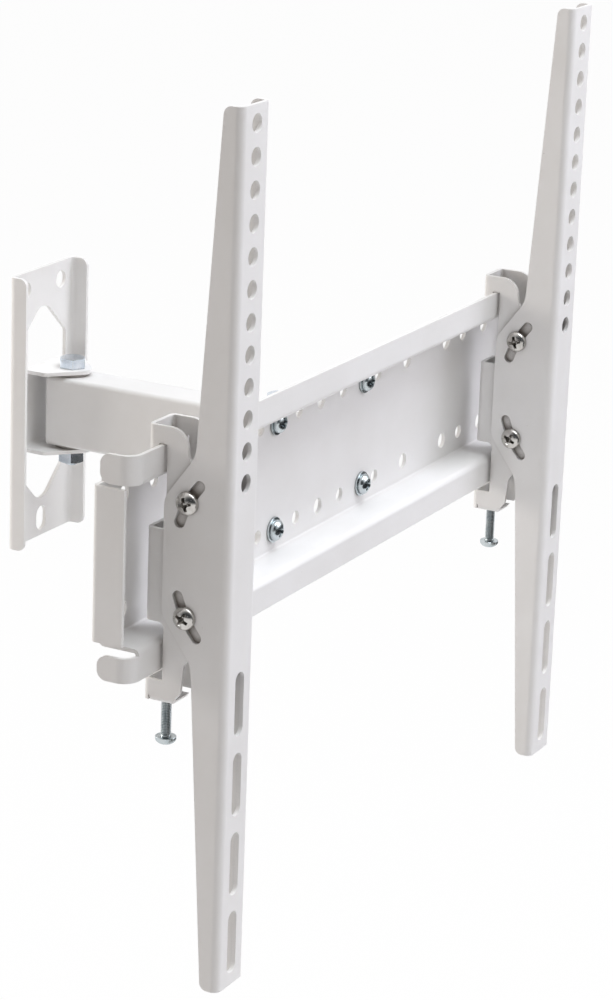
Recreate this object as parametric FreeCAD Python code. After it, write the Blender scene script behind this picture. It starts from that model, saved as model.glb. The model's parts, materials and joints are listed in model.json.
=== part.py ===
import FreeCAD, Part
import math
import os

# Wall mount for a flat screen: a wall bracket, an arm that swivels at both ends, a crossbar,
# and two rails that hook over the crossbar, slide along it and tilt in curved slots.
# Millimetres. The origin is the centre of the wall bracket's back face, +Z is up,
# -Y points away from the wall and +X runs along the crossbar.

Vector = FreeCAD.Vector

# Sheet metal
sheet = 2.0
plate = 2.0
bend_inside = 1.0
plate_bend_inside = 2.0

# Wall bracket
wall_width = 61.4
wall_height = 148.0
wall_flange_depth = 10.7
wall_flange_corner = 4.0
wall_hole_dia = 9.4
wall_top_hole_pitch = 34.0
wall_top_hole_rise = 64.2
wall_slot_drop = 64.4
wall_slot_length = 13.4

# Swivel ears, the same on the wall bracket and the head bracket
ear_width = 39.2
ear_taper = 43.0
ear_shoulder_round = 3.0
ear_tip_round = 7.0
ear_edge = 11.0
window_kerf = 3.0

# Swivel arm and its pivots
wall_pivot_reach = 20.5
head_pivot_reach = 22.1
arm_length = 124.5
arm_width = 24.0
arm_height = 37.6
arm_wall = 2.0
arm_corner = 2.5
arm_overhang = 9.2
cap_thickness = 1.5
cap_edge = 1.2
pivot_bolt_dia = 8.0
pivot_head_flats = 13.0
pivot_head_height = 5.3
pivot_nut_height = 6.8
bush_flange_dia = 18.0
bush_flange = 1.6
bush_barrel_dia = 11.0
bush_barrel_inside = 1.0

# Crossbar
crossbar_length = 438.0
crossbar_depth = 21.8
cavity_height = 78.0
lip_height = 13.2
lip_wrap_radius = 8.0
tongue_length = 17.8
tongue_corner = 5.0
upper_tongue_drop = 0.8
lower_tongue_drop = -1.2
end_flange_setback = 4.8
end_flange_top_gap = 0.8
end_flange_bottom_gap = 2.5
web_hole_rise = 28.0
web_large_hole_dia = 8.5
web_small_hole_dia = 7.2
web_large_hole_places = (0.0, 98.0, 146.0, 194.0)
web_small_hole_places = (24.0, 64.0, 167.0)

# Head bracket and the screws that hold the crossbar to it
head_screw_place = 48.0
head_screw_dia = 6.0
head_screw_head_dia = 10.8
head_screw_head_height = 4.0
head_washer_dia = 13.2
head_washer = 1.2
head_nut_flats = 10.0
head_nut_height = 5.0
head_wing_margin = 12.0
head_wing_rise = 8.0
head_wing_corner = 5.0
head_strip_height = 32.0

# Rails
left_rail_place = -181.5
right_rail_place = 177.2
rail_rise = 2.0
rail_length = 422.0
rail_width = 26.0
rail_bend = 4.0
rail_face_to_lip = 36.6
rail_end_depth = 9.5
rail_end_corner = 4.0
rail_shoulder_depth = 19.0
rail_shoulder_rise = 50.0
rail_shoulder_round = 16.0
rail_hump_gap = 1.6
rail_hump_rise = 28.0
rail_hump_round = 12.0
rail_hole_dia = 8.8
rail_hole_count = 12
rail_hole_pitch = 15.0
rail_hole_from_end = 8.5
rail_slot_width = 8.2
rail_slot_length = 31.6
rail_slot_count = 4
rail_slot_pitch = 40.0
rail_slot_from_end = 6.2

# Tilt: the slots are arcs about an axis in front of the rail, behind the screen's face
tilt_axis_ahead = 28.0
tilt_screw_depth = 22.5
tilt_screw_rise = 27.5
tilt_half_angle = 10.5
tilt_screw_dia = 5.0
tilt_screw_head_dia = 11.2
tilt_screw_head_height = 3.9
tilt_nut_flats = 8.0
tilt_nut_height = 4.5

# Hook brackets
hook_top_rise = 8.8
hook_top_corner = 9.0
hook_front_depth = 12.0
hook_front_rise = 34.0
hook_throat_depth = 24.0
hook_throat_rise = 50.0
hook_nose_depth = 25.5
hook_back_beyond_lip = 8.7
hook_notch_gap = 1.4
hook_finger_rise = 4.0
hook_middle_top = 14.0
hook_middle_gap = 8.0
hook_middle_round = 3.0
hook_foot_gap = 5.4
hook_foot_height = 11.1
hook_tab_length = 15.0
hook_tab_reach = 15.0
hook_corner_trim = 0.7
hook_chin_rise = 7.0
hook_chin_round = 2.0
hook_edge_round = 4.0
hook_notch_round = 1.0

# Lock screws
lock_screw_dia = 5.0
lock_screw_length = 25.0
lock_screw_head_dia = 10.2
lock_screw_head_height = 4.0
lock_screw_showing = 19.5

# Fastener proportions, as shares of the flats, the head or the thread
hex_chamfer_share = 0.06
tip_chamfer_share = 0.1
dome_edge_share = 0.4
recess_length_share = 0.56
recess_width_share = 0.12
recess_depth_share = 0.6

# Clearances
running_clearance = 0.06
bolt_clearance = 0.25
slide_clearance = 0.3
seat_gap = 0.2
finger_play = 0.8
face_gap = 0.1
thread_end = 1.5
relief_gap = 0.4

# Stations along Y, from the wall outwards
wall_pivot_y = -wall_pivot_reach
head_pivot_y = wall_pivot_y - arm_length
web_back_y = head_pivot_y - head_pivot_reach
web_front_y = web_back_y - sheet
lip_front_y = web_back_y - crossbar_depth
lip_back_y = lip_front_y + sheet
rail_face_y = lip_front_y - rail_face_to_lip
tilt_axis_y = rail_face_y - tilt_axis_ahead

# Heights that several pieces share
ear_inner_z = arm_height / 2 + bush_flange + face_gap
ear_outer_z = ear_inner_z + plate
cavity_top_z = cavity_height / 2
shelf_top_z = cavity_top_z + sheet
lip_top_z = shelf_top_z + lip_height
crossbar_end_x = crossbar_length / 2
crossbar_body_x = crossbar_end_x - lip_wrap_radius
bend_outside = bend_inside + sheet
plate_bend_outside = plate_bend_inside + plate
hook_half_width = rail_width / 2 - sheet - slide_clearance
lock_screw_x = -hook_half_width + (bend_outside + hook_tab_reach) / 2
lock_screw_y = (lip_front_y + lip_back_y) / 2
cap_plug_depth = arm_overhang - cap_thickness - bush_barrel_dia / 2 - relief_gap

touching = 1e-6


def rounded_wire(corners, to_space):
    """Closed wire through corners (u, v, radius), with a tangent arc at each corner."""
    turns = []
    for index, (u, v, radius) in enumerate(corners):
        before = corners[index - 1]
        after = corners[(index + 1) % len(corners)]
        here = Vector(u, v, 0)
        towards_before = (Vector(before[0], before[1], 0) - here).normalize()
        towards_after = (Vector(after[0], after[1], 0) - here).normalize()
        half_turn = towards_before.getAngle(towards_after) / 2
        reach = radius / math.tan(half_turn)
        inward = (towards_before + towards_after).normalize()
        start = here + towards_before * reach
        middle = here + inward * (radius / math.sin(half_turn) - radius)
        end = here + towards_after * reach
        turns.append((start, middle, end))
    edges = []
    for index, (start, middle, end) in enumerate(turns):
        if (end - start).Length > touching:
            edges.append(Part.Arc(to_space(start), to_space(middle), to_space(end)).toShape())
        following = turns[(index + 1) % len(turns)][0]
        if (following - end).Length > touching:
            edges.append(Part.LineSegment(to_space(end), to_space(following)).toShape())
    return Part.Wire(edges)


def prism_along_x(corners, start, end):
    """Outline in (y, z), run along X."""
    wire = rounded_wire(corners, lambda point: Vector(start, point.x, point.y))
    return Part.Face(wire).extrude(Vector(end - start, 0, 0))


def prism_along_y(corners, start, end):
    """Outline in (x, z), run along Y."""
    wire = rounded_wire(corners, lambda point: Vector(point.x, start, point.y))
    return Part.Face(wire).extrude(Vector(0, end - start, 0))


def prism_along_z(corners, start, end):
    """Outline in (x, y), run along Z."""
    wire = rounded_wire(corners, lambda point: Vector(point.x, point.y, start))
    return Part.Face(wire).extrude(Vector(0, 0, end - start))


def rectangle(low_u, high_u, low_v, high_v, radius=0.0):
    return [
        (low_u, low_v, radius), (high_u, low_v, radius), (high_u, high_v, radius), (low_u, high_v, radius),
    ]


def hole_along_y(x, z, diameter, start, end):
    return Part.makeCylinder(diameter / 2, end - start, Vector(x, start, z), Vector(0, 1, 0))


def hole_along_z(x, y, diameter, start, end):
    return Part.makeCylinder(diameter / 2, end - start, Vector(x, y, start), Vector(0, 0, 1))


def slot_along_y(x, z, width, length, start, end):
    """Upright slot with round ends, cut along Y."""
    corners = rectangle(x - width / 2, x + width / 2, z - length / 2, z + length / 2, width / 2)
    return prism_along_y(corners, start, end)


def mirrored(shape, normal):
    return shape.mirror(Vector(0, 0, 0), normal)


def both_ways(shape, normal):
    return [shape, mirrored(shape, normal)]


def placed(shape, point, direction):
    """Moves a fastener made along +Z to a point, with +Z turned to the direction."""
    result = shape.copy()
    result.Placement = FreeCAD.Placement(point, FreeCAD.Rotation(Vector(0, 0, 1), direction))
    return result


def turned(points):
    """Solid of revolution about Z from a half section in (radius, z)."""
    wire = Part.makePolygon([Vector(r, 0, z) for r, z in points + points[:1]])
    return Part.Face(wire).revolve(Vector(0, 0, 0), Vector(0, 0, 1), 360)


def hexagon(flats, start, end):
    reach = flats / math.cos(math.pi / 6) / 2
    turns = [(step + 0.5) * math.pi / 3 for step in range(6)]
    corners = [(reach * math.cos(turn), reach * math.sin(turn), 0.0) for turn in turns]
    return prism_along_z(corners, start, end)


def threaded_shank(diameter, length):
    radius = diameter / 2
    tip = diameter * tip_chamfer_share
    return turned([(0, 0), (radius, 0), (radius, length - tip), (radius - tip, length), (0, length)])


def hex_bolt(diameter, flats, head_height, length):
    """Head below z = 0 with chamfered corners, shank above it."""
    chamfer = flats * hex_chamfer_share
    rim = flats / math.cos(math.pi / 6) / 2
    envelope = turned([
        (0, -head_height), (rim - 2 * chamfer, -head_height), (rim, -head_height + chamfer), (rim, 0), (0, 0),
    ])
    head = hexagon(flats, -head_height, 0).common(envelope)
    return head.fuse(threaded_shank(diameter, length)).removeSplitter()


def hex_nut(bore, flats, height):
    """Stands on z = 0, with chamfered corners on both faces."""
    chamfer = flats * hex_chamfer_share
    rim = flats / math.cos(math.pi / 6) / 2
    inner = bore / 2 + running_clearance
    envelope = turned([
        (inner, 0), (rim - 2 * chamfer, 0), (rim, chamfer),
        (rim, height - chamfer), (rim - 2 * chamfer, height), (inner, height),
    ])
    return hexagon(flats, 0, height).common(envelope)


def pan_screw(diameter, head_dia, head_height, length):
    """Domed head with a cross recess below z = 0, shank above it."""
    rim = head_dia / 2
    edge = head_height * dome_edge_share
    crown_height = head_height - edge
    dome_radius = (rim * rim + crown_height * crown_height) / (2 * crown_height)
    halfway_sink = dome_radius - math.sqrt(dome_radius * dome_radius - rim * rim / 4)
    crown = Part.Arc(
        Vector(rim, 0, -edge), Vector(rim / 2, 0, halfway_sink - head_height), Vector(0, 0, -head_height),
    ).toShape()
    rest = Part.makePolygon([
        Vector(0, 0, -head_height), Vector(0, 0, 0), Vector(rim, 0, 0), Vector(rim, 0, -edge),
    ])
    head = Part.Face(Part.Wire([crown] + rest.Edges)).revolve(Vector(0, 0, 0), Vector(0, 0, 1), 360)
    recess_length = head_dia * recess_length_share
    recess_width = head_dia * recess_width_share
    recess_depth = head_height * recess_depth_share
    for across, along in ((recess_length, recess_width), (recess_width, recess_length)):
        corner = Vector(-across / 2, -along / 2, -head_height)
        head = head.cut(Part.makeBox(across, along, recess_depth, corner))
    return head.fuse(threaded_shank(diameter, length)).removeSplitter()


def ear_plan(root_y, tip_y, kerf=0.0):
    """Outline of an ear seen from above, tapered to a round tip, or of a window a kerf outside it."""
    half = ear_width / 2 + kerf
    tip_round = ear_tip_round + kerf
    way = math.copysign(1, tip_y - root_y)
    taper = math.radians(ear_taper)
    apex_y = tip_y + way * (kerf + tip_round * (1 / math.cos(taper) - 1))
    shoulder_y = apex_y - way * half * math.tan(taper)
    return [
        (-half, root_y, 0.0), (half, root_y, 0.0), (half, shoulder_y, ear_shoulder_round),
        (0.0, apex_y, tip_round), (-half, shoulder_y, ear_shoulder_round),
    ]


def bent_ear(back_y, tip_y):
    """Upper ear and its bend, from a plate whose far face is at back_y."""
    way = math.copysign(1, tip_y - back_y)
    near_y = back_y + way * plate
    root_z = ear_outer_z - plate_bend_outside
    section = [
        (back_y, root_z, 0.0), (back_y, ear_outer_z, plate_bend_outside), (tip_y, ear_outer_z, 0.0),
        (tip_y, ear_inner_z, 0.0), (near_y, ear_inner_z, plate_bend_inside), (near_y, root_z, 0.0),
    ]
    bent = prism_along_x(section, -ear_width / 2, ear_width / 2)
    return bent.common(prism_along_z(ear_plan(back_y, tip_y), root_z, ear_outer_z))


def make_wall_bracket():
    half_width = wall_width / 2
    half_height = wall_height / 2
    front_y = -wall_flange_depth
    web_face_y = -plate
    outside = [
        (-half_width, front_y, 0.0), (half_width, front_y, 0.0),
        (half_width, 0.0, plate_bend_outside), (-half_width, 0.0, plate_bend_outside),
    ]
    inside = [
        (-half_width + plate, front_y - plate, 0.0), (half_width - plate, front_y - plate, 0.0),
        (half_width - plate, web_face_y, plate_bend_inside),
        (-half_width + plate, web_face_y, plate_bend_inside),
    ]
    channel = prism_along_z(outside, -half_height, half_height)
    channel = channel.cut(prism_along_z(inside, -half_height, half_height))
    side = [
        (front_y, -half_height, wall_flange_corner), (0.0, -half_height, 0.0),
        (0.0, half_height, 0.0), (front_y, half_height, wall_flange_corner),
    ]
    channel = channel.common(prism_along_x(side, -half_width, half_width))
    ear_tip_y = wall_pivot_y - ear_edge
    root_z = ear_outer_z - plate_bend_outside
    window = [(x, root_z - y, radius) for x, y, radius in ear_plan(0.0, ear_tip_y, window_kerf)]
    window_cut = prism_along_y(window, web_face_y, 0.0)
    ear = bent_ear(0.0, ear_tip_y)
    for cut in both_ways(window_cut, Vector(0, 0, 1)):
        channel = channel.cut(cut)
    for piece in both_ways(ear, Vector(0, 0, 1)):
        channel = channel.fuse(piece)
    bore = pivot_bolt_dia + 2 * bolt_clearance
    channel = channel.cut(hole_along_z(0, wall_pivot_y, bore, -ear_outer_z, ear_outer_z))
    for x in (-wall_top_hole_pitch / 2, wall_top_hole_pitch / 2):
        channel = channel.cut(hole_along_y(x, wall_top_hole_rise, wall_hole_dia, web_face_y, 0.0))
    slot = slot_along_y(0, -wall_slot_drop, wall_hole_dia, wall_slot_length, web_face_y, 0.0)
    return channel.cut(slot).removeSplitter()


def make_pivot_bolt(pivot_y):
    length = 2 * ear_outer_z + pivot_nut_height + thread_end
    bolt = hex_bolt(pivot_bolt_dia, pivot_head_flats, pivot_head_height, length)
    return placed(bolt, Vector(0, pivot_y, ear_outer_z), Vector(0, 0, -1))


def make_pivot_nut(pivot_y):
    nut = hex_nut(pivot_bolt_dia, pivot_head_flats, pivot_nut_height)
    return placed(nut, Vector(0, pivot_y, -ear_outer_z), Vector(0, 0, -1))


def make_arm_tube():
    near_y = wall_pivot_y + arm_overhang - cap_thickness
    far_y = head_pivot_y - arm_overhang + cap_thickness
    half_width = arm_width / 2
    half_height = arm_height / 2
    outside = rectangle(-half_width, half_width, -half_height, half_height, arm_corner)
    inside = rectangle(
        -half_width + arm_wall, half_width - arm_wall,
        -half_height + arm_wall, half_height - arm_wall, arm_corner - arm_wall,
    )
    tube = prism_along_y(outside, far_y, near_y).cut(prism_along_y(inside, far_y, near_y))
    for pivot_y in (wall_pivot_y, head_pivot_y):
        bore = bush_barrel_dia + 2 * running_clearance
        tube = tube.cut(hole_along_z(0, pivot_y, bore, -half_height, half_height))
    return tube


def make_arm_end_caps():
    """Push-in caps with softened edges that close both ends of the tube."""
    half_width = arm_width / 2
    half_height = arm_height / 2
    inner_width = half_width - arm_wall - running_clearance
    inner_height = half_height - arm_wall - running_clearance
    caps = []
    for end_y, way in ((wall_pivot_y + arm_overhang, -1), (head_pivot_y - arm_overhang, 1)):
        seat_y = end_y + way * cap_thickness
        plug_y = seat_y + way * cap_plug_depth
        lid_corners = rectangle(-half_width, half_width, -half_height, half_height, arm_corner)
        lid = prism_along_y(lid_corners, end_y, seat_y)
        rim = [edge for edge in lid.Edges if all(abs(v.Point.y - end_y) < touching for v in edge.Vertexes)]
        lid = lid.makeFillet(cap_edge, rim)
        plug_round = arm_corner - arm_wall
        plug_corners = rectangle(-inner_width, inner_width, -inner_height, inner_height, plug_round)
        caps.append(lid.fuse(prism_along_y(plug_corners, seat_y, plug_y)).removeSplitter())
    return Part.makeCompound(caps)


def make_pivot_bushes(pivot_y):
    """Flanged bushes in the tube's upper and lower walls, free to turn on the bolt."""
    half_height = arm_height / 2
    bore = pivot_bolt_dia / 2 + running_clearance
    flange = bush_flange_dia / 2
    barrel = bush_barrel_dia / 2
    barrel_depth = arm_wall + bush_barrel_inside
    bush = turned([
        (bore, -barrel_depth), (barrel, -barrel_depth), (barrel, 0),
        (flange, 0), (flange, bush_flange), (bore, bush_flange),
    ])
    upper = placed(bush, Vector(0, pivot_y, half_height), Vector(0, 0, 1))
    lower = placed(bush, Vector(0, pivot_y, -half_height), Vector(0, 0, -1))
    return Part.makeCompound([upper, lower])


def make_head_bracket():
    """H-shaped plate with two ears bent back round the arm."""
    back_y = web_back_y + plate
    wing_outer = head_screw_place + head_wing_margin
    wing_inner = head_screw_place - head_wing_margin
    wing_top = web_hole_rise + head_wing_rise
    strip_top = head_strip_height / 2
    quarter = [
        (wing_outer, wing_top, head_wing_corner), (wing_inner, wing_top, head_wing_corner),
        (wing_inner, strip_top, head_wing_corner),
    ]
    outline = list(quarter)
    outline += [(-x, z, radius) for x, z, radius in reversed(quarter)]
    outline += [(-x, -z, radius) for x, z, radius in quarter]
    outline += [(x, -z, radius) for x, z, radius in reversed(quarter)]
    bracket = prism_along_y(outline, web_back_y, back_y)
    root_z = ear_outer_z - plate_bend_outside
    lug = rectangle(-ear_width / 2, ear_width / 2, -root_z, root_z)
    bracket = bracket.fuse(prism_along_y(lug, web_back_y, back_y))
    ear = bent_ear(web_back_y, head_pivot_y + ear_edge)
    for piece in both_ways(ear, Vector(0, 0, 1)):
        bracket = bracket.fuse(piece)
    bore = pivot_bolt_dia + 2 * bolt_clearance
    bracket = bracket.cut(hole_along_z(0, head_pivot_y, bore, -ear_outer_z, ear_outer_z))
    for x, z in head_screw_points():
        bracket = bracket.cut(hole_along_y(x, z, head_screw_dia + 2 * bolt_clearance, web_back_y, back_y))
    return bracket.removeSplitter()


def head_screw_points():
    return [(x, z) for x in (-head_screw_place, head_screw_place) for z in (-web_hole_rise, web_hole_rise)]


def at_head_screws(fastener, y, direction):
    return Part.makeCompound([placed(fastener, Vector(x, y, z), direction) for x, z in head_screw_points()])


def make_crossbar():
    """Hat section with turned-out lips, wrapped lip ends and an end flange on the web."""
    section = [
        (lip_front_y, lip_top_z, 0.0), (lip_back_y, lip_top_z, 0.0),
        (lip_back_y, shelf_top_z, bend_inside), (web_back_y, shelf_top_z, bend_outside),
        (web_back_y, -shelf_top_z, bend_outside), (lip_back_y, -shelf_top_z, bend_inside),
        (lip_back_y, -lip_top_z, 0.0), (lip_front_y, -lip_top_z, 0.0),
        (lip_front_y, -cavity_top_z, bend_outside), (web_front_y, -cavity_top_z, bend_inside),
        (web_front_y, cavity_top_z, bend_inside), (lip_front_y, cavity_top_z, bend_outside),
    ]
    bar = prism_along_x(section, -crossbar_body_x, crossbar_body_x)
    upper_tongue = make_lip_tongue(1, upper_tongue_drop)
    lower_tongue = make_lip_tongue(-1, lower_tongue_drop)
    for right_piece in (upper_tongue, lower_tongue, make_end_flange()):
        for piece in both_ways(right_piece, Vector(1, 0, 0)):
            bar = bar.fuse(piece)
    rows = ((web_large_hole_places, web_large_hole_dia), (web_small_hole_places, web_small_hole_dia))
    for places, diameter in rows:
        for x in sorted(set(places) | {-place for place in places}):
            for z in (-web_hole_rise, web_hole_rise):
                bar = bar.cut(hole_along_y(x, z, diameter, web_front_y, web_back_y))
    for x, z in head_screw_points():
        bar = bar.cut(hole_along_y(x, z, head_screw_dia + 2 * bolt_clearance, web_front_y, web_back_y))
    return bar.removeSplitter()


def make_lip_tongue(side, drop):
    """Right end of a lip, wrapped back towards the wall into a rounded tongue."""
    tip_y = lip_front_y + tongue_length
    inner_x = crossbar_end_x - sheet
    wrap = [
        (crossbar_body_x, lip_front_y, 0.0), (crossbar_end_x, lip_front_y, lip_wrap_radius),
        (crossbar_end_x, tip_y, 0.0), (inner_x, tip_y, 0.0),
        (inner_x, lip_back_y, lip_wrap_radius - sheet), (crossbar_body_x, lip_back_y, 0.0),
    ]
    root_z = shelf_top_z - drop
    tongue = prism_along_z(wrap, side * root_z, side * lip_top_z)
    side_view = [
        (lip_front_y - sheet, side * root_z, 0.0), (tip_y, side * root_z, tongue_corner),
        (tip_y, side * lip_top_z, tongue_corner), (lip_front_y - sheet, side * lip_top_z, 0.0),
    ]
    return tongue.common(prism_along_x(side_view, crossbar_body_x, crossbar_end_x))


def make_end_flange():
    """Right end of the web, bent forward to just behind the lips."""
    inner_x = crossbar_end_x - sheet
    front_y = lip_front_y + end_flange_setback
    plan = [
        (crossbar_body_x, web_back_y, 0.0), (crossbar_end_x, web_back_y, bend_outside),
        (crossbar_end_x, front_y, 0.0), (inner_x, front_y, 0.0),
        (inner_x, web_front_y, bend_inside), (crossbar_body_x, web_front_y, 0.0),
    ]
    return prism_along_z(plan, -cavity_top_z + end_flange_bottom_gap, cavity_top_z - end_flange_top_gap)


def make_crossbar_screws():
    length = head_washer + sheet + plate + head_nut_height + thread_end
    screw = pan_screw(head_screw_dia, head_screw_head_dia, head_screw_head_height, length)
    seat_y = web_front_y - head_washer
    return at_head_screws(screw, seat_y, Vector(0, 1, 0))


def make_crossbar_washers():
    bore = head_screw_dia / 2 + bolt_clearance
    rim = head_washer_dia / 2
    washer = turned([(bore, 0), (rim, 0), (rim, head_washer), (bore, head_washer)])
    return at_head_screws(washer, web_front_y, Vector(0, -1, 0))


def make_crossbar_nuts():
    nut = hex_nut(head_screw_dia, head_nut_flats, head_nut_height)
    seat_y = web_back_y + plate
    return at_head_screws(nut, seat_y, Vector(0, 1, 0))


def rail_side_outline():
    """Flange outline in (y, z): narrow ends, straight taper, and a rounded hump at the hook bracket."""
    half = rail_length / 2
    hump_y = lip_front_y - rail_hump_gap
    shoulder_y = rail_face_y + rail_shoulder_depth
    end_y = rail_face_y + rail_end_depth
    upper = [
        (end_y, half, rail_end_corner), (shoulder_y, rail_shoulder_rise, rail_shoulder_round),
        (hump_y, rail_hump_rise, rail_hump_round),
    ]
    lower = [(y, -z, radius) for y, z, radius in reversed(upper)]
    return [(rail_face_y, half, 0.0)] + upper + lower + [(rail_face_y, -half, 0.0)]


def tilt_slot(side, start_x, end_x):
    """Curved slot about the tilt axis, centred on the upper or lower tilt screw."""
    radius = math.hypot(tilt_axis_ahead + tilt_screw_depth, tilt_screw_rise)
    middle = math.atan2(side * tilt_screw_rise, tilt_axis_ahead + tilt_screw_depth)
    half_angle = math.radians(tilt_half_angle)
    half_width = tilt_screw_dia / 2 + slide_clearance

    def at(distance, angle):
        return Vector(start_x, tilt_axis_y + distance * math.cos(angle), distance * math.sin(angle))

    first = middle - half_angle
    last = middle + half_angle
    outer = radius + half_width
    inner = radius - half_width
    cap = half_width / radius
    edges = [
        Part.Arc(at(outer, first), at(outer, middle), at(outer, last)),
        Part.Arc(at(outer, last), at(radius, last + cap), at(inner, last)),
        Part.Arc(at(inner, last), at(inner, middle), at(inner, first)),
        Part.Arc(at(inner, first), at(radius, first - cap), at(outer, first)),
    ]
    face = Part.Face(Part.Wire([edge.toShape() for edge in edges]))
    return face.extrude(Vector(end_x - start_x, 0, 0))


def make_rail(place):
    half = rail_length / 2
    half_width = rail_width / 2
    deepest_y = lip_front_y
    outside = [
        (-half_width, rail_face_y, rail_bend), (half_width, rail_face_y, rail_bend),
        (half_width, deepest_y, 0.0), (-half_width, deepest_y, 0.0),
    ]
    inner = half_width - sheet
    inside = [
        (-inner, rail_face_y + sheet, rail_bend - sheet), (inner, rail_face_y + sheet, rail_bend - sheet),
        (inner, deepest_y, 0.0), (-inner, deepest_y, 0.0),
    ]
    rail = prism_along_z(outside, -half, half).cut(prism_along_z(inside, -half, half))
    rail = rail.common(prism_along_x(rail_side_outline(), -half_width, half_width))
    face_back_y = rail_face_y + sheet
    for index in range(rail_hole_count):
        z = half - rail_hole_from_end - index * rail_hole_pitch
        rail = rail.cut(hole_along_y(0, z, rail_hole_dia, rail_face_y, face_back_y))
    for index in range(rail_slot_count):
        z = -half + rail_slot_from_end + rail_slot_length / 2 + index * rail_slot_pitch
        rail = rail.cut(slot_along_y(0, z, rail_slot_width, rail_slot_length, rail_face_y, face_back_y))
    for side in (-1, 1):
        rail = rail.cut(tilt_slot(side, -half_width, half_width))
    rail = rail.removeSplitter()
    rail.translate(Vector(place, 0, rail_rise))
    return rail


def hook_side_outline():
    """Side wall outline in (y, z): finger behind the upper lip, middle in the cavity, foot under the lip."""
    back_y = lip_front_y + hook_back_beyond_lip
    notch_y = lip_front_y - hook_notch_gap
    finger_y = lip_back_y + finger_play
    top_z = lip_top_z + hook_top_rise
    finger_z = shelf_top_z + hook_finger_rise
    middle_low_z = -cavity_top_z + hook_middle_gap
    foot_top_z = -lip_top_z - hook_foot_gap
    foot_low_z = foot_top_z - hook_foot_height
    nose_y = rail_face_y + hook_nose_depth
    throat_y = rail_face_y + hook_throat_depth
    front_y = rail_face_y + hook_front_depth
    tab_y = back_y - hook_tab_length
    return [
        (back_y, top_z, 0.0), (nose_y, top_z, hook_top_corner),
        (throat_y, hook_throat_rise, hook_edge_round), (front_y, hook_front_rise, hook_edge_round),
        (front_y, -hook_front_rise, hook_edge_round), (throat_y, -hook_throat_rise, hook_edge_round),
        (nose_y, foot_low_z + hook_chin_rise, hook_chin_round),
        (tab_y, foot_low_z, 0.0), (back_y, foot_low_z, 0.0),
        (back_y, foot_top_z, 0.0), (notch_y, foot_top_z, hook_notch_round),
        (notch_y, middle_low_z, hook_middle_round), (back_y, middle_low_z, 0.0),
        (back_y, hook_middle_top, 0.0), (notch_y, hook_middle_top, hook_notch_round),
        (notch_y, lip_top_z + seat_gap, 0.0), (finger_y, lip_top_z + seat_gap, 0.0),
        (finger_y, finger_z, 0.0), (back_y, finger_z, 0.0),
    ]


def make_hook_bracket(place):
    """U bracket, open to the front, that fits inside the rail, with a foot tab folded under its left wall."""
    inner = hook_half_width - sheet
    back_y = lip_front_y + hook_back_beyond_lip
    front_y = rail_face_y + hook_front_depth
    top_z = lip_top_z + hook_top_rise
    low_z = -lip_top_z - hook_foot_gap - hook_foot_height
    outside = [
        (-hook_half_width, front_y, 0.0), (hook_half_width, front_y, 0.0),
        (hook_half_width, back_y, bend_outside), (-hook_half_width, back_y, bend_outside),
    ]
    inside = [
        (-inner, front_y, 0.0), (inner, front_y, 0.0),
        (inner, back_y - sheet, bend_inside), (-inner, back_y - sheet, bend_inside),
    ]
    bracket = prism_along_z(outside, low_z, top_z).cut(prism_along_z(inside, low_z, top_z))
    fold_y = back_y - bend_outside - relief_gap
    above_tab = rectangle(-hook_half_width + bend_outside, hook_half_width, front_y, back_y)
    above_fold = rectangle(-hook_half_width, -inner, front_y, fold_y + relief_gap)
    bracket = bracket.cut(prism_along_z(above_tab, low_z, low_z + sheet + relief_gap))
    bracket = bracket.cut(prism_along_z(above_fold, low_z, low_z + bend_outside))
    corner = rectangle(-hook_half_width, -hook_half_width + bend_outside, back_y - bend_outside, back_y)
    bracket = bracket.cut(prism_along_z(corner, low_z, low_z + hook_corner_trim))
    tab_end = -hook_half_width + hook_tab_reach
    tab = [
        (-hook_half_width, low_z + bend_outside, 0.0), (-hook_half_width, low_z, bend_outside),
        (tab_end, low_z, 0.0), (tab_end, low_z + sheet, 0.0),
        (-inner, low_z + sheet, bend_inside), (-inner, low_z + bend_outside, 0.0),
    ]
    bracket = bracket.fuse(prism_along_y(tab, front_y, fold_y))
    bracket = bracket.common(prism_along_x(hook_side_outline(), -hook_half_width, hook_half_width))
    thread = lock_screw_dia + 2 * running_clearance
    bracket = bracket.cut(hole_along_z(lock_screw_x, lock_screw_y, thread, low_z, low_z + sheet))
    for point in tilt_screw_points(0):
        start = point - Vector(hook_half_width, 0, 0)
        radius = tilt_screw_dia / 2 + bolt_clearance
        bracket = bracket.cut(Part.makeCylinder(radius, 2 * hook_half_width, start, Vector(1, 0, 0)))
    bracket = bracket.removeSplitter()
    bracket.translate(Vector(place, 0, 0))
    return bracket


def tilt_screw_points(place):
    y = rail_face_y + tilt_screw_depth
    return [Vector(place, y, rail_rise + side * tilt_screw_rise) for side in (-1, 1)]


def at_tilt_screws(fastener, place, seat):
    across = Vector(1, 0, 0)
    return Part.makeCompound([placed(fastener, point + seat, across) for point in tilt_screw_points(place)])


def make_tilt_screws(place):
    grip = rail_width + 2 * face_gap
    length = grip + tilt_nut_height + thread_end
    screw = pan_screw(tilt_screw_dia, tilt_screw_head_dia, tilt_screw_head_height, length)
    seat = Vector(-grip / 2, 0, 0)
    return at_tilt_screws(screw, place, seat)


def make_tilt_nuts(place):
    nut = hex_nut(tilt_screw_dia, tilt_nut_flats, tilt_nut_height)
    seat = Vector(rail_width / 2 + face_gap, 0, 0)
    return at_tilt_screws(nut, place, seat)


def make_lock_screw(place):
    foot_z = -lip_top_z - hook_foot_gap - hook_foot_height
    screw = pan_screw(lock_screw_dia, lock_screw_head_dia, lock_screw_head_height, lock_screw_length)
    seat = Vector(place + lock_screw_x, lock_screw_y, foot_z - lock_screw_showing)
    return placed(screw, seat, Vector(0, 0, 1))


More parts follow.
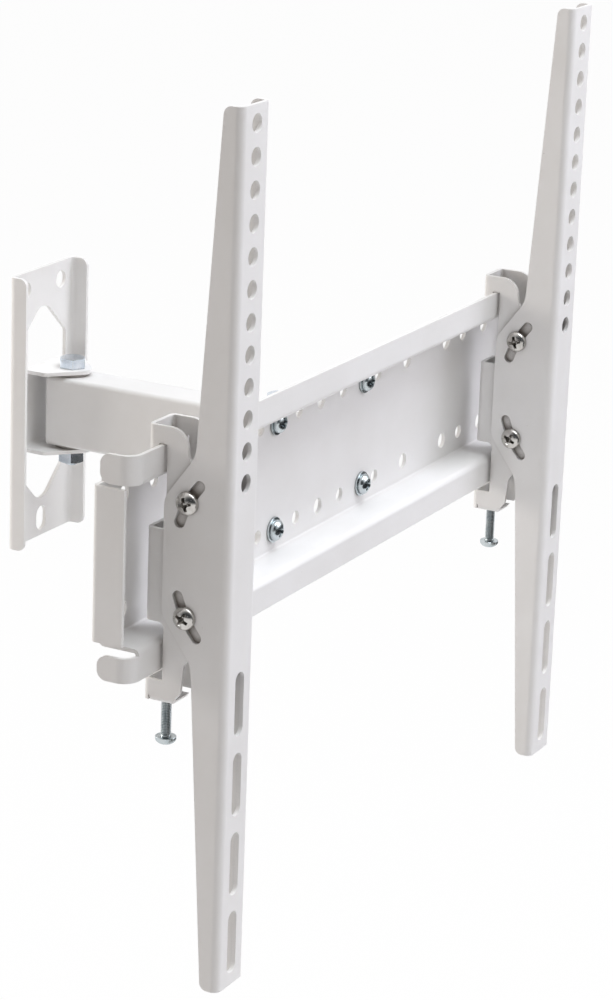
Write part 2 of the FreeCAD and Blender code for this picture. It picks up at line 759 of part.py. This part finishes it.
parts = {
    "wall_bracket": make_wall_bracket(),
    "wall_pivot_bolt": make_pivot_bolt(wall_pivot_y),
    "wall_pivot_nut": make_pivot_nut(wall_pivot_y),
    "arm_tube": make_arm_tube(),
    "arm_end_caps": make_arm_end_caps(),
    "wall_pivot_bushes": make_pivot_bushes(wall_pivot_y),
    "head_pivot_bushes": make_pivot_bushes(head_pivot_y),
    "head_bracket": make_head_bracket(),
    "head_pivot_bolt": make_pivot_bolt(head_pivot_y),
    "head_pivot_nut": make_pivot_nut(head_pivot_y),
    "crossbar": make_crossbar(),
    "crossbar_screws": make_crossbar_screws(),
    "crossbar_washers": make_crossbar_washers(),
    "crossbar_nuts": make_crossbar_nuts(),
}
for side, place in (("left", left_rail_place), ("right", right_rail_place)):
    parts[side + "_hook_bracket"] = make_hook_bracket(place)
    parts[side + "_tilt_screws"] = make_tilt_screws(place)
    parts[side + "_tilt_nuts"] = make_tilt_nuts(place)
    parts[side + "_rail"] = make_rail(place)
    parts[side + "_lock_screw"] = make_lock_screw(place)

os.makedirs("parts", exist_ok=True)
for name, shape in parts.items():
    shape.exportStep("parts/" + name + ".step")
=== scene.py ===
import json
import math

import bmesh
import bpy
from mathutils import Matrix, Vector


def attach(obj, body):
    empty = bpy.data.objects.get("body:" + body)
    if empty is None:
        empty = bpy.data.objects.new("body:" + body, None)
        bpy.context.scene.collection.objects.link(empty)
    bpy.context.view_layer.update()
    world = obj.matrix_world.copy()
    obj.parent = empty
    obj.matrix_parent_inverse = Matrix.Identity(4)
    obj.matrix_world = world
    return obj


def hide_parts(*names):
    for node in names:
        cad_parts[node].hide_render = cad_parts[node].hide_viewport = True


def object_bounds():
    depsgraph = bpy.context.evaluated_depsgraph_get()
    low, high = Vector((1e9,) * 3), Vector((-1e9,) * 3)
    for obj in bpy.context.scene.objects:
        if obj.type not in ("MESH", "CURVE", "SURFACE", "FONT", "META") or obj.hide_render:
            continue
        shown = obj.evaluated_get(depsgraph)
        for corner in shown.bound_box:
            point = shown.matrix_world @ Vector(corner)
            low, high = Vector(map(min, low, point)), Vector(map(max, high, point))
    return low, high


# Looks for a white wall mount for a flat screen. Metres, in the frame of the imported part:
# +Z is up, -Y points away from the wall and +X runs along the crossbar.

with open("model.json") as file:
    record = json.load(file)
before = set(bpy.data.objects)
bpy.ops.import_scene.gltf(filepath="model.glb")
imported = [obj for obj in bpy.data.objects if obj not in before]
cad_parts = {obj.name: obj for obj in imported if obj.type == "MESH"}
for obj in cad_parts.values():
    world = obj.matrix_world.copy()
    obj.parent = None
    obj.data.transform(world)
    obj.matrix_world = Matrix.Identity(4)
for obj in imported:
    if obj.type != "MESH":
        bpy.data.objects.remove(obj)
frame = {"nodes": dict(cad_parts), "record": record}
cad_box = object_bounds()
nodes = frame["nodes"]
record = frame["record"]
body_of_node = {node: body for body, members in record["behaviour"]["bodies"].items() for node in members}
MM = 0.001

# Camera, fitted to the rails' holes, the crossbar's edges and the wall bracket in the photograph
camera_place = Vector((-1.4262, -0.9018, 0.4715))
camera_heading = math.radians(62.60)
camera_dip = math.radians(17.21)
camera_roll = math.radians(2.13)
camera_lens = 117.9
camera_nearest = 0.05
camera_farthest = 100.0

# Rounded edges of the coated sheet, the plated pieces and the mouldings
coat_round = 0.5 * MM
plate_round = 0.15 * MM
moulded_round = 0.3 * MM
round_segments = 2
circular_profile = 0.5
weld_gap = 0.002 * MM
flat_angle = math.radians(0.4)
sharp_angle = math.radians(35.0)
sorting_digits = 5

# Fastener sizes, as the part's source has them, and the length of thread on the pivot bolts
pivot_size = 8 * MM
pivot_flats = 13 * MM
pivot_head = 5.3 * MM
pivot_thread = 24 * MM
crossbar_size = 6 * MM
crossbar_head = 4.0 * MM
tilt_size = 5 * MM
tilt_head = 3.9 * MM
lock_size = 5 * MM
lock_head = 4.0 * MM

# Threads: the pitch for each size in millimetres, then the form as shares of the pitch
thread_pitch = {5: 0.8 * MM, 6: 1.0 * MM, 8: 1.25 * MM}
thread_depth_share = 0.613
crest_share = 0.125
root_share = 0.25
run_out_pitches = 1.5
rings_per_pitch = 8
steps_round = 48

# Chamfer at a thread's tip, as a share of the diameter
tip_chamfer_share = 0.12

# Cross recess: its plan as shares of the head's diameter, and its depths as shares of the head's height
recess_reach_share = 0.34
recess_half_width_share = 0.078
recess_corner_share = 0.14
recess_depth_share = 0.7
recess_tip_share = 0.12

# Size of the recess's floor as a share of its mouth, how far the cutter stands out, and each screw's turn
recess_floor_share = 0.5
recess_clear = 0.5 * MM
recess_first_turn = math.radians(28.0)
recess_next_turn = math.radians(47.0)

# Pan head: its straight side as a share of the head's height
pan_side_share = 0.25
pan_rings = 14

# Hexagon head: a flat round face, a cone that chamfers the corners, and corners a little worn
hex_chamfer_slope = math.tan(math.radians(30.0))
hex_face_share = 0.95
hex_corner_share = 0.98
hex_steps_per_flat = 16

# Shades of each finish, by the height of the noise that spreads them
coat_shades = {0.3: (0.80, 0.795, 0.785), 0.7: (0.845, 0.843, 0.84)}
blue_zinc_shades = {0.25: (0.52, 0.59, 0.67), 0.5: (0.66, 0.72, 0.79), 0.75: (0.77, 0.81, 0.86)}
grey_zinc_shades = {0.25: (0.40, 0.46, 0.48), 0.5: (0.54, 0.59, 0.61), 0.75: (0.66, 0.70, 0.71)}
nickel_shades = {0.3: (0.52, 0.50, 0.475), 0.7: (0.64, 0.62, 0.595)}
cap_shades = {0.3: (0.78, 0.78, 0.77), 0.7: (0.83, 0.83, 0.82)}
bush_shades = {0.3: (0.33, 0.31, 0.295), 0.7: (0.42, 0.40, 0.38)}

# Dark tint in pinholes, and painted shade, a darker colour in corners, slots, channels and grooves
pinhole_colour = (0.60, 0.585, 0.565)
sheet_corner_shade = (0.42, 0.38, 0.34)
slot_painted_shade = (0.28, 0.25, 0.22)
rail_painted_shade = (0.36, 0.365, 0.38)
zinc_groove_shade = (0.05, 0.05, 0.05)
nickel_groove_shade = (0.12, 0.11, 0.10)
groove_shade_reach = 1.5 * MM

# Rays that look for crevices, and how open a point still is where its painted shade starts and where it is
# whole
shade_rays = 6
shade_starts = 0.8
shade_whole = 0.35

# Floor, which shows mostly as plain white and keeps a small share of its own shading
floor_drop = 0.3
floor_size = 30.0
floor_colour = (0.82, 0.82, 0.82)
floor_roughness = 0.9
floor_white_share = 0.97

# Soft light from all round, the white backdrop, and the dim room behind the camera that gloss shows
ambient_colour = (1.0, 0.915, 0.86)
ambient_strength = 0.33
backdrop_colour = (0.975, 0.975, 0.975)
room_colour = (0.05, 0.055, 0.06)
room_direction = Vector((-0.85, -0.45, -0.2)).normalized()
room_edge_starts = 0.1
room_edge_ends = 0.7

# Dark card in front of the object
card_foot = Vector((0.35, -0.65, -0.5))
card_top = Vector((0.55, -1.05, 0.08))
card_width = 1.9
card_colour = (0.012, 0.014, 0.016)
card_roughness = 0.95

# Square lamps, with the power in watts
lamps = {
    "key": {"place": (1.3, -2.1, 1.3), "side": 1.4, "power": 25.8, "colour": (0.893, 0.893, 1.0)},
    "top": {"place": (0.15, -1.0, 2.3), "side": 1.6, "power": 47.2, "colour": (0.915, 0.962, 1.0)},
    "rim": {"place": (-0.45, 1.5, 0.5), "side": 0.8, "power": 18.0, "colour": (1.0, 0.945, 0.89)},
}


def smooth_by_angle(piece):
    """Smooth shading, with the larger faces setting the normals, so flat faces stay flat."""
    piece.data.shade_smooth()
    piece.data.set_sharp_from_angle(angle=sharp_angle)
    weighted = piece.modifiers.new("face_weighted_normals", "WEIGHTED_NORMAL")
    weighted.keep_sharp = True


def as_object(shape, name, mesh_name):
    """Turns a bmesh into an object in the scene and frees the bmesh."""
    mesh = bpy.data.meshes.new(mesh_name)
    shape.to_mesh(mesh)
    shape.free()
    made = bpy.data.objects.new(name, mesh)
    bpy.context.scene.collection.objects.link(made)
    return made


def add_piece(shape, node, material):
    """Makes a piece from a bmesh that stands for a CAD node and rides on that node's body."""
    piece = as_object(shape, node + "_piece", node + "_surface")
    piece.data.materials.append(material)
    smooth_by_angle(piece)
    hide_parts(node)
    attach(piece, body_of_node[node])


def welded(node):
    """The node's own surface with its split corners joined."""
    shape = bmesh.new()
    shape.from_mesh(nodes[node].data)
    bmesh.ops.remove_doubles(shape, verts=shape.verts, dist=weld_gap)
    return shape


def softened(node, width, material):
    """The node with its flat facets merged and its sharp edges rounded, as on sheet under a coat."""
    shape = welded(node)
    bmesh.ops.dissolve_limit(shape, angle_limit=flat_angle, verts=shape.verts, edges=shape.edges)
    sharp = [edge for edge in shape.edges if edge.is_manifold and edge.calc_face_angle() > sharp_angle]
    bmesh.ops.bevel(
        shape, geom=sharp, offset=width, offset_type="OFFSET", segments=round_segments,
        profile=circular_profile, affect="EDGES", clamp_overlap=True, loop_slide=True,
    )
    add_piece(shape, node, material)


def solid_boxes(node):
    """Lowest and highest corner of each separate solid in a node, in order of the lowest corners."""
    shape = welded(node)
    unseen = set(shape.verts)
    boxes = []
    while unseen:
        waiting = [unseen.pop()]
        low = waiting[0].co.copy()
        high = waiting[0].co.copy()
        while waiting:
            vertex = waiting.pop()
            low = Vector(map(min, low, vertex.co))
            high = Vector(map(max, high, vertex.co))
            for edge in vertex.link_edges:
                other = edge.other_vert(vertex)
                if other in unseen:
                    unseen.remove(other)
                    waiting.append(other)
        boxes.append((low, high))
    shape.free()
    return sorted(boxes, key=lambda box: tuple(round(value, sorting_digits) for value in box[0]))


def ring_solid(shape, rings, steps):
    """Adds a closed solid of rings about Z. Each ring gives radius and height at an angle."""
    turns = [step * 2 * math.pi / steps for step in range(steps)]
    rows = []
    for ring in rings:
        row = []
        for turn in turns:
            radius, height = ring(turn)
            row.append(shape.verts.new((radius * math.cos(turn), radius * math.sin(turn), height)))
        rows.append(row)
    for lower, upper in zip(rows, rows[1:]):
        for step in range(steps):
            after = (step + 1) % steps
            shape.faces.new((lower[step], lower[after], upper[after], upper[step]))
    shape.faces.new(list(reversed(rows[0])))
    shape.faces.new(rows[-1])


def round_ring(radius, height):
    """A ring with one radius and height all round."""
    return lambda turn: (radius, height)


def thread_rings(diameter, start, length):
    """Rings of an external thread along +Z, run out at the start and chamfered at the tip."""
    pitch = thread_pitch[round(diameter / MM)]
    major = diameter / 2
    depth = thread_depth_share * pitch
    tip = diameter * tip_chamfer_share
    flank_share = (1 - crest_share - root_share) / 2

    def radius_at(turn, along):
        phase = (along / pitch - turn / (2 * math.pi)) % 1.0
        from_crest = min(phase, 1 - phase) - crest_share / 2
        sink = min(max(from_crest / flank_share, 0.0), 1.0)
        sink *= min(along / (run_out_pitches * pitch), 1.0)
        return min(major - sink * depth, major - tip + (length - along))

    count = math.ceil(length / pitch * rings_per_pitch)
    rings = []
    for index in range(count + 1):
        along = length * index / count
        rings.append(lambda turn, along=along: (radius_at(turn, along), start + along))
    return rings


def hexagon_radius(turn, flats):
    """Distance from the axis to a hexagon's outline, with its corners a little worn."""
    within = (turn + math.pi / 6) % (math.pi / 3) - math.pi / 6
    corner = flats / 2 / math.cos(math.pi / 6)
    return min(flats / 2 / math.cos(within), corner * hex_corner_share)


def hex_head_rings(flats, height):
    """Rings of a hexagon head, from the chamfered face at z = -height up to the seat at z = 0."""
    face = flats / 2 * hex_face_share

    def chamfered(turn):
        radius = hexagon_radius(turn, flats)
        return radius, -height + (radius - face) * hex_chamfer_slope

    def seat(turn):
        return hexagon_radius(turn, flats), 0.0

    return [round_ring(face, -height), chamfered, seat]


def pan_head_rings(diameter, height):
    """Rings of a domed head, from the crown at z = -height up to the seat at z = 0."""
    rim = diameter / 2
    side = height * pan_side_share
    crown = height - side
    rings = []
    for index in range(1, pan_rings + 1):
        sweep = index / pan_rings * math.pi / 2
        rings.append(round_ring(rim * math.sin(sweep), -side - crown * math.cos(sweep)))
    rings.append(round_ring(rim, -plate_round))
    rings.append(round_ring(rim - plate_round, 0.0))
    return rings


def recess_cutter(diameter, height, recess_turn):
    """Tapered cross that leaves a screwdriver recess in a pan head's crown."""
    reach = diameter * recess_reach_share
    half = diameter * recess_half_width_share
    corner = diameter * recess_corner_share
    quarter = [(reach, -half), (reach, half), (corner, half), (half, corner)]
    outline = []
    for quarter_turn in range(4):
        spin = Matrix.Rotation(recess_turn + quarter_turn * math.pi / 2, 2)
        outline += [spin @ Vector(point) for point in quarter]
    depth = height * recess_depth_share
    mouth_size = 1.0 + recess_clear / depth * (1 - recess_floor_share)
    levels = [(mouth_size, -height - recess_clear), (recess_floor_share, -height + depth)]
    shape = bmesh.new()
    mouth, floor = [
        [shape.verts.new((point.x * size, point.y * size, z)) for point in outline] for size, z in levels
    ]
    tip = shape.verts.new((0, 0, -height + depth + height * recess_tip_share))
    count = len(outline)
    for step in range(count):
        after = (step + 1) % count
        shape.faces.new((mouth[step], mouth[after], floor[after], floor[step]))
        shape.faces.new((floor[step], floor[after], tip))
    shape.faces.new(list(reversed(mouth)))
    return shape


def cut(shape, cutter):
    """One bmesh less another, worked out exactly."""
    body = as_object(shape, "cut_body", "cut_body")
    tool = as_object(cutter, "cut_tool", "cut_tool")
    difference = body.modifiers.new("difference", "BOOLEAN")
    difference.operation = "DIFFERENCE"
    difference.solver = "EXACT"
    difference.object = tool
    evaluated = body.evaluated_get(bpy.context.evaluated_depsgraph_get())
    result = bmesh.new()
    result.from_mesh(evaluated.to_mesh())
    evaluated.to_mesh_clear()
    for used in (body, tool):
        mesh = used.data
        bpy.data.objects.remove(used)
        bpy.data.meshes.remove(mesh)
    return result


def join(shape, addition):
    """Moves one bmesh into another as a separate shell."""
    mesh = bpy.data.meshes.new("addition")
    addition.to_mesh(mesh)
    addition.free()
    shape.from_mesh(mesh)
    bpy.data.meshes.remove(mesh)


def pan_screw(diameter, length, head_diameter, head_height, recess_turn):
    """Cross-recess screw with its seat at z = 0 and its thread along +Z."""
    rings = pan_head_rings(head_diameter, head_height) + thread_rings(diameter, 0.0, length)
    shape = bmesh.new()
    ring_solid(shape, rings, steps_round)
    return cut(shape, recess_cutter(head_diameter, head_height, recess_turn))


def hex_bolt(diameter, length, flats, head_height, thread_length):
    """Hexagon bolt with its seat at z = 0, a plain shank and a thread at the end, along +Z."""
    rings = hex_head_rings(flats, head_height)
    rings.append(round_ring(diameter / 2, 0.0))
    rings += thread_rings(diameter, length - thread_length, thread_length)
    shape = bmesh.new()
    ring_solid(shape, rings, 6 * hex_steps_per_flat)
    return shape


def place_at(shape, seat, direction):
    """Turns a fastener made along +Z to a direction and moves its seat to a point."""
    if direction.z < 0:
        turn = Matrix.Rotation(math.pi, 4, "X")
    else:
        turn = Vector((0, 0, 1)).rotation_difference(direction).to_matrix().to_4x4()
    bmesh.ops.transform(shape, matrix=Matrix.Translation(seat) @ turn, verts=shape.verts)


def fasteners(node, direction, make, head_height, material):
    """Puts a detailed fastener in the place of each solid of a node, with its thread in a direction.

    The maker is given the length under the head, the head's width and a turn for its recess.
    """
    direction = Vector(direction)
    axis = max(range(3), key=lambda index: abs(direction[index]))
    across = (axis + 1) % 3
    together = bmesh.new()
    for index, (low, high) in enumerate(solid_boxes(node)):
        seat = (low + high) / 2
        head_end = low[axis] if direction[axis] > 0 else high[axis]
        seat[axis] = head_end + direction[axis] * head_height
        length = high[axis] - low[axis] - head_height
        one = make(length, high[across] - low[across], recess_first_turn + index * recess_next_turn)
        place_at(one, seat, direction)
        join(together, one)
    add_piece(together, node, material)


class Tree:
    """The nodes of a material or a world, with short calls to add and link them."""

    def __init__(self, owner):
        owner.use_nodes = True
        self.nodes = owner.node_tree.nodes
        self.links = owner.node_tree.links

    def add(self, kind, **settings):
        """A new node with its settings."""
        node = self.nodes.new(kind)
        for name, value in settings.items():
            setattr(node, name, value)
        return node

    def link(self, source, target):
        """Leads an output to an input."""
        self.links.new(source, target)

    def math(self, operation, first, second):
        """Output of a math node on two values, each of them an output or a constant."""
        node = self.add("ShaderNodeMath", operation=operation)
        for socket, value in zip(node.inputs, (first, second)):
            if isinstance(value, (int, float)):
                socket.default_value = value
            else:
                self.link(value, socket)
        return node.outputs["Value"]

    def span(self, source, low, high, start=0.0, end=1.0, easing="LINEAR"):
        """Maps start to end onto low to high."""
        node = self.add("ShaderNodeMapRange", interpolation_type=easing)
        node.inputs["From Min"].default_value = start
        node.inputs["From Max"].default_value = end
        node.inputs["To Min"].default_value = low
        node.inputs["To Max"].default_value = high
        self.link(source, node.inputs["Value"])
        return node.outputs["Result"]

    def mixed_shaders(self, share, first, second):
        """Goes from the first shader to the second as the share goes from 0 to 1."""
        node = self.add("ShaderNodeMixShader")
        self.link(share, node.inputs["Fac"])
        self.link(first, node.inputs[1])
        self.link(second, node.inputs[2])
        return node.outputs["Shader"]

    def background_share(self):
        """1 for rays that see the background: from the camera, in reflections and through glass."""
        path = self.add("ShaderNodeLightPath")
        seen = path.outputs["Is Camera Ray"]
        for name in ("Is Glossy Ray", "Is Transmission Ray"):
            seen = self.math("MAXIMUM", seen, path.outputs[name])
        return seen


class Finish(Tree):
    """A material for the object's own surfaces, with textures that stay with the piece."""

    def __init__(self, name):
        self.material = bpy.data.materials.new(name)
        super().__init__(self.material)
        self.sockets = self.nodes["Principled BSDF"].inputs
        self.place = self.add("ShaderNodeTexCoord").outputs["Object"]

    def lead(self, source, socket):
        """Leads an output to one of the surface's own sockets."""
        self.link(source, self.sockets[socket])

    def set(self, **values):
        """Sets sockets of the surface to constants."""
        for name, value in values.items():
            self.sockets[name.replace("_", " ")].default_value = value

    def noise(self, scale, detail=2.0, roughness=0.5):
        """Noise with so many swells to the metre."""
        node = self.add("ShaderNodeTexNoise")
        self.link(self.place, node.inputs["Vector"])
        node.inputs["Scale"].default_value = scale
        node.inputs["Detail"].default_value = detail
        node.inputs["Roughness"].default_value = roughness
        return node.outputs["Fac"]

    def pinholes(self, scale, radius, spared):
        """1 in small spots, one to a cell, apart from the share of cells that are spared."""
        node = self.add("ShaderNodeTexVoronoi")
        self.link(self.place, node.inputs["Vector"])
        node.inputs["Scale"].default_value = scale
        near = self.math("LESS_THAN", node.outputs["Distance"], radius)
        chosen = self.math("GREATER_THAN", node.outputs["Color"], spared)
        return self.math("MULTIPLY", near, chosen)

    def crevice_shade(self, reach, most):
        """Share of painted shade: from 0 in the open to most where other surfaces close a point in within
        a short reach.
        """
        node = self.add("ShaderNodeAmbientOcclusion", samples=shade_rays)
        node.inputs["Distance"].default_value = reach
        return self.span(node.outputs["AO"], most, 0.0, shade_whole, shade_starts)

    def ramp(self, source, shades):
        """Colour that goes through the shades as the source rises."""
        node = self.add("ShaderNodeValToRGB")
        elements = node.color_ramp.elements
        while len(elements) < len(shades):
            elements.new(0.5)
        for element, (height, colour) in zip(elements, shades.items()):
            element.position = height
            element.color = (*colour, 1.0)
        self.link(source, node.inputs["Fac"])
        return node.outputs["Color"]

    def tinted(self, share, colour, tint):
        """Takes a colour towards a constant tint by a share."""
        node = self.add("ShaderNodeMix", data_type="RGBA")
        self.link(share, node.inputs["Factor"])
        self.link(colour, node.inputs["A"])
        node.inputs["B"].default_value = (*tint, 1.0)
        return node.outputs["Result"]

    def bump(self, height, depth, strength, under=None):
        """Relief of a depth in metres, on top of another one where that is given."""
        node = self.add("ShaderNodeBump")
        node.inputs["Distance"].default_value = depth
        node.inputs["Strength"].default_value = strength
        self.link(height, node.inputs["Height"])
        if under is not None:
            self.link(under, node.inputs["Normal"])
        return node.outputs["Normal"]


def white_coat(name, shade_colour, reach, most):
    """Satin powder coat: faint mottle, orange peel, fine grain, a few pinholes and painted shade in
    corners.
    """
    finish = Finish(name)
    colour = finish.ramp(finish.noise(scale=18.0, detail=4.0, roughness=0.6), coat_shades)
    colour = finish.tinted(finish.pinholes(scale=170.0, radius=0.045, spared=0.86), colour, pinhole_colour)
    # Painted shade: the colour darkens towards a shade colour where other surfaces close in, in corners,
    # slots and channels
    colour = finish.tinted(finish.crevice_shade(reach, most), colour, shade_colour)
    finish.lead(colour, "Base Color")
    finish.lead(finish.span(finish.noise(scale=420.0, detail=3.0), low=0.36, high=0.56), "Roughness")
    peel = finish.bump(finish.noise(scale=620.0), depth=0.09 * MM, strength=0.35)
    grain = finish.bump(finish.noise(scale=2600.0), depth=0.03 * MM, strength=0.35, under=peel)
    finish.lead(grain, "Normal")
    finish.set(Specular_IOR_Level=0.45, Coat_Weight=0.08, Coat_Roughness=0.3)
    return finish.material


def zinc_plate(name, shades):
    """Zinc plating: tints that drift over the surface, a fine tumbled texture and painted shade in the
    grooves.
    """
    finish = Finish(name)
    colour = finish.ramp(finish.noise(scale=160.0, detail=3.0, roughness=0.6), shades)
    # Painted shade: the colour goes dark in grooves, threads and recesses
    colour = finish.tinted(finish.crevice_shade(groove_shade_reach, most=0.9), colour, zinc_groove_shade)
    finish.lead(colour, "Base Color")
    finish.lead(finish.span(finish.noise(scale=900.0, detail=3.0), low=0.14, high=0.32), "Roughness")
    dents = finish.noise(scale=1500.0, detail=3.0)
    finish.lead(finish.bump(dents, depth=0.04 * MM, strength=0.3), "Normal")
    finish.set(Metallic=1.0)
    return finish.material


def nickel_plate(name, shades):
    """Bright nickel: a soft mirror with fine haze, small ripples and painted shade in the grooves."""
    finish = Finish(name)
    colour = finish.ramp(finish.noise(scale=240.0, detail=3.0), shades)
    # Painted shade: the colour goes dark in grooves, threads and recesses
    colour = finish.tinted(finish.crevice_shade(groove_shade_reach, most=0.6), colour, nickel_groove_shade)
    finish.lead(colour, "Base Color")
    finish.lead(finish.span(finish.noise(scale=1200.0, detail=3.0), low=0.16, high=0.32), "Roughness")
    ripples = finish.noise(scale=800.0)
    finish.lead(finish.bump(ripples, depth=0.03 * MM, strength=0.25), "Normal")
    finish.set(Metallic=1.0)
    return finish.material


def moulded_plastic(name, shades):
    """Moulded plastic with a fine spark-eroded texture."""
    finish = Finish(name)
    finish.lead(finish.ramp(finish.noise(scale=90.0, detail=3.0), shades), "Base Color")
    finish.lead(finish.span(finish.noise(scale=700.0, detail=3.0), low=0.4, high=0.55), "Roughness")
    sparks = finish.noise(scale=2200.0)
    finish.lead(finish.bump(sparks, depth=0.05 * MM, strength=0.4), "Normal")
    return finish.material


# Three copies of the coat that differ only in their painted shade: faint in corners, strong in the hook
# brackets' slots, wide in the rails' channels
coat = white_coat("white_coat", sheet_corner_shade, reach=5 * MM, most=0.3)
hook_coat = white_coat("white_coat_in_slots", slot_painted_shade, reach=6 * MM, most=1.0)
rail_coat = white_coat("white_coat_in_rails", rail_painted_shade, reach=25 * MM, most=0.45)
zinc = zinc_plate("zinc_plate", blue_zinc_shades)
grey_zinc = zinc_plate("grey_zinc_plate", grey_zinc_shades)
nickel = nickel_plate("nickel_plate", nickel_shades)
cap_plastic = moulded_plastic("cap_plastic", cap_shades)
bush_plastic = moulded_plastic("bush_plastic", bush_shades)

# Sheet metal, nuts, washers and mouldings of the wall bracket, arm and crossbar
for node in ("wall_bracket", "arm_tube", "head_bracket", "crossbar"):
    softened(node, coat_round, coat)
for node in ("wall_pivot_nut", "head_pivot_nut", "crossbar_nuts"):
    softened(node, plate_round, zinc)
softened("crossbar_washers", plate_round, grey_zinc)
softened("arm_end_caps", moulded_round, cap_plastic)
for node in ("wall_pivot_bushes", "head_pivot_bushes"):
    softened(node, moulded_round, bush_plastic)

# Their bolts and screws
for node in ("wall_pivot_bolt", "head_pivot_bolt"):
    fasteners(
        node, (0, 0, -1),
        lambda length, across, turn: hex_bolt(pivot_size, length, pivot_flats, pivot_head, pivot_thread),
        pivot_head, zinc,
    )
fasteners(
    "crossbar_screws", (0, 1, 0),
    lambda length, across, turn: pan_screw(crossbar_size, length, across, crossbar_head, turn),
    crossbar_head, grey_zinc,
)

# The rails with their hook brackets and fasteners
for side in ("left", "right"):
    softened(side + "_rail", coat_round, rail_coat)
    softened(side + "_hook_bracket", coat_round, hook_coat)
    softened(side + "_tilt_nuts", plate_round, nickel)
    fasteners(
        side + "_tilt_screws", (1, 0, 0),
        lambda length, across, turn: pan_screw(tilt_size, length, across, tilt_head, turn),
        tilt_head, nickel,
    )
    fasteners(
        side + "_lock_screw", (0, 0, 1),
        lambda length, across, turn: pan_screw(lock_size, length, across, lock_head, turn),
        lock_head, grey_zinc,
    )


def plain_material(name, colour, roughness):
    """A material with one colour, for what stands around the object."""
    material = bpy.data.materials.new(name)
    material.use_nodes = True
    sockets = material.node_tree.nodes["Principled BSDF"].inputs
    sockets["Base Color"].default_value = (*colour, 1.0)
    sockets["Roughness"].default_value = roughness
    return material


def flat_sheet(name, corners, material):
    """A flat sheet with four corners, in the scene."""
    mesh = bpy.data.meshes.new(name)
    mesh.from_pydata(corners, [], [(0, 1, 2, 3)])
    mesh.materials.append(material)
    sheet = bpy.data.objects.new(name, mesh)
    bpy.context.scene.collection.objects.link(sheet)
    return sheet


def make_floor():
    """Pale floor that reads as white paper and keeps a faint shadow."""
    material = plain_material("floor_paper", floor_colour, floor_roughness)
    tree = Tree(material)
    white = tree.add("ShaderNodeEmission")
    white.inputs["Strength"].default_value = 1.0
    share = tree.math("MULTIPLY", tree.background_share(), floor_white_share)
    paper = tree.nodes["Principled BSDF"]
    seen = tree.mixed_shaders(share, paper.outputs["BSDF"], white.outputs["Emission"])
    tree.link(seen, tree.nodes["Material Output"].inputs["Surface"])
    lowest = cad_box[0].z - floor_drop
    reach = floor_size / 2
    plan = [(-reach, -reach), (reach, -reach), (reach, reach), (-reach, reach)]
    corners = [(x, y, lowest) for x, y in plan]
    floor = flat_sheet("floor", corners, material)


def make_world():
    """A white sweep behind the object, and a dim room behind the camera that only gloss shows."""
    world = bpy.data.worlds.new("studio")
    bpy.context.scene.world = world
    tree = Tree(world)
    ambient = tree.nodes["Background"]
    ambient.inputs["Color"].default_value = (*ambient_colour, 1.0)
    ambient.inputs["Strength"].default_value = ambient_strength
    backdrop = tree.add("ShaderNodeBackground")
    backdrop.inputs["Color"].default_value = (*backdrop_colour, 1.0)
    room = tree.add("ShaderNodeBackground")
    room.inputs["Color"].default_value = (*room_colour, 1.0)
    facing = tree.add("ShaderNodeVectorMath", operation="DOT_PRODUCT")
    facing.inputs[1].default_value = room_direction
    tree.link(tree.add("ShaderNodeTexCoord").outputs["Generated"], facing.inputs[0])
    in_room = tree.span(
        facing.outputs["Value"], low=0.0, high=1.0,
        start=room_edge_starts, end=room_edge_ends, easing="SMOOTHSTEP",
    )
    in_gloss = tree.add("ShaderNodeLightPath").outputs["Is Glossy Ray"]
    light = tree.mixed_shaders(
        tree.background_share(), ambient.outputs["Background"], backdrop.outputs["Background"],
    )
    light = tree.mixed_shaders(tree.math("MULTIPLY", in_room, in_gloss), light, room.outputs["Background"])
    tree.link(light, tree.nodes["World Output"].inputs["Surface"])


def make_card():
    """Dark card in front of the object that only gloss shows, so that plated heads have a horizon."""
    across = Vector((0, 0, 1)).cross(card_top).normalized() * card_width / 2
    corners = [card_foot - across, card_foot + across, card_top + across, card_top - across]
    card = flat_sheet("card", corners, plain_material("card_felt", card_colour, card_roughness))
    card.visible_camera = False
    card.visible_diffuse = False
    card.visible_shadow = False


def add_lamp(name, place, side, power, colour):
    """A square lamp that points at the middle of the object and isn't seen itself by the camera."""
    data = bpy.data.lights.new(name, "AREA")
    data.size = side
    data.energy = power
    data.color = colour
    lamp = bpy.data.objects.new(name, data)
    lamp.location = place
    lamp.rotation_mode = "QUATERNION"
    middle = (cad_box[0] + cad_box[1]) / 2
    lamp.rotation_quaternion = (middle - Vector(place)).to_track_quat("-Z", "Y")
    lamp.visible_camera = False
    bpy.context.scene.collection.objects.link(lamp)


def make_camera():
    """The photograph's camera, turned by its heading from +Y, its dip below level and its roll."""
    data = bpy.data.cameras.new("camera")
    data.lens = camera_lens
    data.clip_start = camera_nearest
    data.clip_end = camera_farthest
    forward = Vector((
        math.sin(camera_heading) * math.cos(camera_dip),
        math.cos(camera_heading) * math.cos(camera_dip),
        -math.sin(camera_dip),
    ))
    level = forward.cross(Vector((0, 0, 1))).normalized()
    right = Matrix.Rotation(-camera_roll, 3, forward) @ level
    up = right.cross(forward)
    camera = bpy.data.objects.new("camera", data)
    bpy.context.scene.collection.objects.link(camera)
    turn = Matrix((right, up, -forward)).transposed().to_4x4()
    camera.matrix_world = Matrix.Translation(camera_place) @ turn
    bpy.context.scene.camera = camera


make_floor()
make_world()
make_card()
for name, lamp in lamps.items():
    add_lamp(name, **lamp)
make_camera()
bpy.context.scene.view_settings.view_transform = "Standard"
